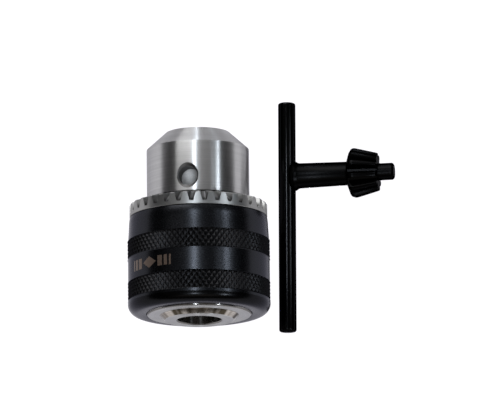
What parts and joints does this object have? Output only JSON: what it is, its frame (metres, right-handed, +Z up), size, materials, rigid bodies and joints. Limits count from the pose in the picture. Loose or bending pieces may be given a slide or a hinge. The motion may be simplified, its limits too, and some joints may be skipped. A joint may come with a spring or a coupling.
{
  "type": "drill chuck",
  "caption": "Keyed drill chuck with bright body and gear ring, black knurled sleeve, self-centring jaws and a T-handle key beside it.",
  "frame": {"origin": "centre of the rear boss end face, on the chuck's axis", "axes": "+Y along the chuck's axis from the spindle end to the nose, +Z up from the bench that the chuck and its key lie on, +X towards the key"},
  "size_m": [0.0813, 0.0709, 0.043],
  "materials": {
    "bright_steel": "satin",
    "black_oxide_sleeve": "gloss",
    "hardened_steel": "satin",
    "black_oxide_key": "gloss"
  },
  "bodies": {
    "chuck": {"chuck_body": "bright_steel"},
    "sleeve": {"sleeve": "black_oxide_sleeve", "gear_ring": "bright_steel", "nut_half_a": "hardened_steel", "nut_half_b": "hardened_steel"},
    "jaw_1": {"jaw_1": "hardened_steel"},
    "jaw_2": {"jaw_2": "hardened_steel"},
    "jaw_3": {"jaw_3": "hardened_steel"},
    "key": {"key_shank": "black_oxide_key", "key_handle_bar": "black_oxide_key"}
  },
  "joints": [
    {"name": "sleeve_turn", "type": "hinge", "parent": "chuck", "child": "sleeve", "pos_m": [0, 0.0155, 0], "axis": [0, -1, 0], "range_deg": [-2340, 1620]},
    {"name": "jaw_1_slide", "type": "slide", "parent": "chuck", "child": "jaw_1", "axis": [-0.1814, 0.9701, -0.161], "range_m": [-0.01345, 0.00933]},
    {"name": "jaw_2_slide", "type": "slide", "parent": "chuck", "child": "jaw_2", "axis": [-0.0488, 0.9701, 0.2376], "range_m": [-0.01345, 0.00933]},
    {"name": "jaw_3_slide", "type": "slide", "parent": "chuck", "child": "jaw_3", "axis": [0.2301, 0.9701, -0.0766], "range_m": [-0.01345, 0.00933]},
    {"name": "key_lift", "type": "slide", "parent": "chuck", "child": "key", "axis": [0, 0, 1], "range_m": [0, 0.05]}
  ],
  "couplings": [
    {"joint": "jaw_1_slide", "follows": "sleeve_turn", "m_per_rad": 0.00032811},
    {"joint": "jaw_2_slide", "follows": "sleeve_turn", "m_per_rad": 0.00032811},
    {"joint": "jaw_3_slide", "follows": "sleeve_turn", "m_per_rad": 0.00032811}
  ]
}
